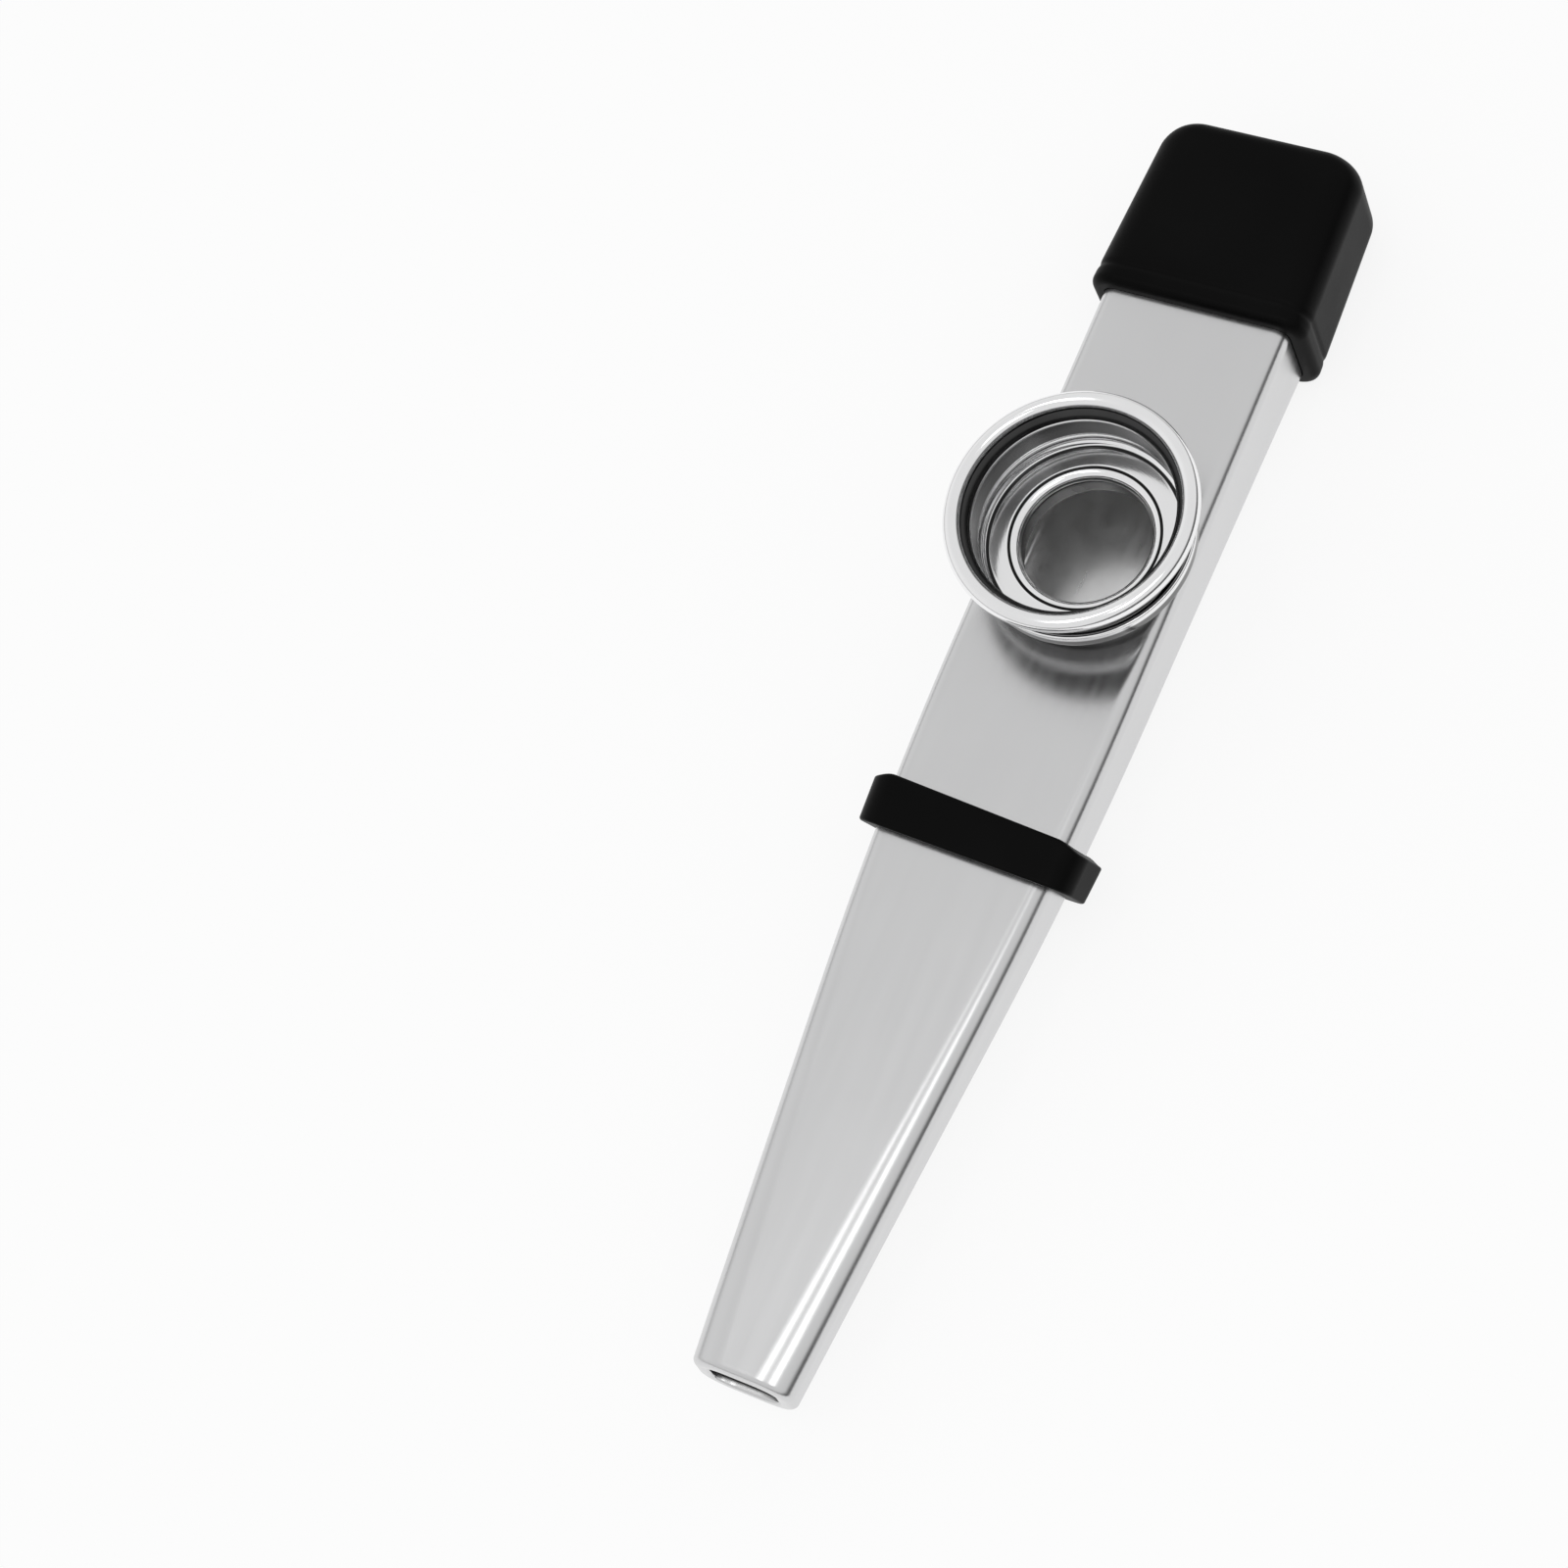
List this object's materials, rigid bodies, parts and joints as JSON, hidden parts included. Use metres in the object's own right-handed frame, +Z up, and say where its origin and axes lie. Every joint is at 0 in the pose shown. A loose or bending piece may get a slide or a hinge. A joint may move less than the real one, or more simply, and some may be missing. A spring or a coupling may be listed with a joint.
{
  "type": "kazoo",
  "caption": "Metal kazoo: a tapered tube with a screw-in turret over a buzzing membrane, a soft cap on the mouth end and a rubber band round the waist.",
  "frame": {"origin": "middle of the bounding box in X and Y, at the underside of the mouth cap", "axes": "+Z up along the turret's axis, +Y along the tube towards the mouth, +X to the player's right when the turret is up"},
  "size_m": [0.0236, 0.1262, 0.02],
  "materials": {
    "tube_metal": "satin, bright",
    "turret_metal": "polished",
    "frame_card": "matte",
    "film": "thin, smooth, translucent",
    "black_rubber": "soft, slightly glossy"
  },
  "bodies": {
    "body": {"tube": "tube_metal", "turret_collar": "turret_metal"},
    "membrane": {"membrane_frame": "frame_card", "membrane_film": "film"},
    "ring": {"turret_ring": "turret_metal"},
    "cap": {"mouth_cap": "black_rubber"},
    "band": {"band": "black_rubber"}
  },
  "joints": [
    {"name": "membrane_lift", "type": "slide", "parent": "body", "child": "membrane", "axis": [0, 0, 1], "range_m": [0, 0.0013]},
    {"name": "ring_turn", "type": "hinge", "parent": "membrane", "child": "ring", "pos_m": [0, 0.0189, 0.014], "axis": [0, 0, 1], "range_deg": [0, 180]},
    {"name": "cap_slide", "type": "slide", "parent": "body", "child": "cap", "axis": [0, 1, 0], "range_m": [0, 0.02]},
    {"name": "band_slide", "type": "slide", "parent": "body", "child": "band", "axis": [0, -1, 0], "range_m": [0, 0.06]}
  ],
  "couplings": [
    {"joint": "membrane_lift", "follows": "ring_turn", "m_per_rad": 0.0002069}
  ]
}
